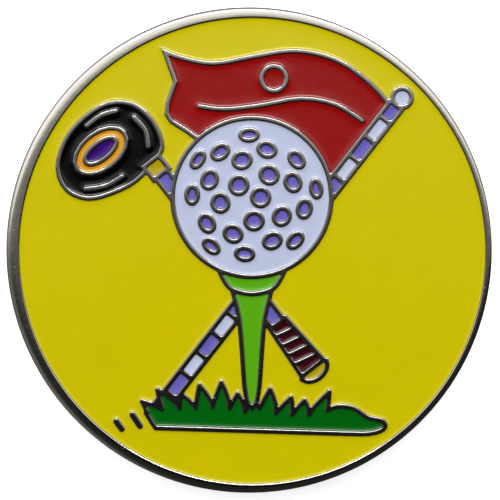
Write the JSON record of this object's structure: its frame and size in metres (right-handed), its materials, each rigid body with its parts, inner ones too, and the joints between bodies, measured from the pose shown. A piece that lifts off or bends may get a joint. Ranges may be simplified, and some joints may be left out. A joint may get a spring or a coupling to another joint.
{
  "type": "ball marker",
  "caption": "Round coin-shaped golf ball marker: struck nickel-plated disc with raised outlines and sunk enamel cells showing a ball on a tee, a club and a flag over grass.",
  "frame": {"origin": "centre of the disc, on the flat plane of its back rim", "axes": "+Z out of the picture face, through the thickness; +Y towards the top of the picture; +X to its right"},
  "size_m": [0.0254, 0.0254, 0.0018],
  "materials": {
    "nickel_plate": "polished nickel plate on struck iron, with fine scratches and small nicks",
    "yellow_enamel": "glossy baked soft enamel, slightly sunk below the metal lines",
    "red_enamel": "glossy baked soft enamel, slightly sunk below the metal lines",
    "white_enamel": "glossy baked soft enamel, slightly sunk below the metal lines",
    "violet_enamel": "glossy baked soft enamel, slightly sunk below the metal lines",
    "light_green_enamel": "glossy baked soft enamel, slightly sunk below the metal lines",
    "dark_green_enamel": "glossy baked soft enamel, slightly sunk below the metal lines",
    "black_enamel": "glossy baked soft enamel, slightly sunk below the metal lines",
    "orange_enamel": "glossy baked soft enamel, slightly sunk below the metal lines",
    "purple_enamel": "glossy baked soft enamel, slightly sunk below the metal lines",
    "ochre_enamel": "glossy baked soft enamel, slightly sunk below the metal lines",
    "maroon_enamel": "glossy baked soft enamel, slightly sunk below the metal lines"
  },
  "bodies": {
    "root": {"struck_base": "nickel_plate", "field_enamel": "yellow_enamel", "flag_enamel": "red_enamel", "finial_enamel": "white_enamel", "flagstick_enamel": "violet_enamel", "flagstick_band_enamel": "white_enamel", "ball_enamel": "white_enamel", "dimple_enamel": "violet_enamel", "tee_cup_enamel": "light_green_enamel", "tee_stem_enamel": "light_green_enamel", "grass_enamel": "dark_green_enamel", "driver_head_enamel": "black_enamel", "sole_ring_enamel": "orange_enamel", "sole_plate_enamel": "purple_enamel", "ferrule_enamel": "ochre_enamel", "shaft_enamel": "violet_enamel", "grip_enamel": "maroon_enamel", "grip_cap_enamel": "ochre_enamel"}
  },
  "joints": []
}
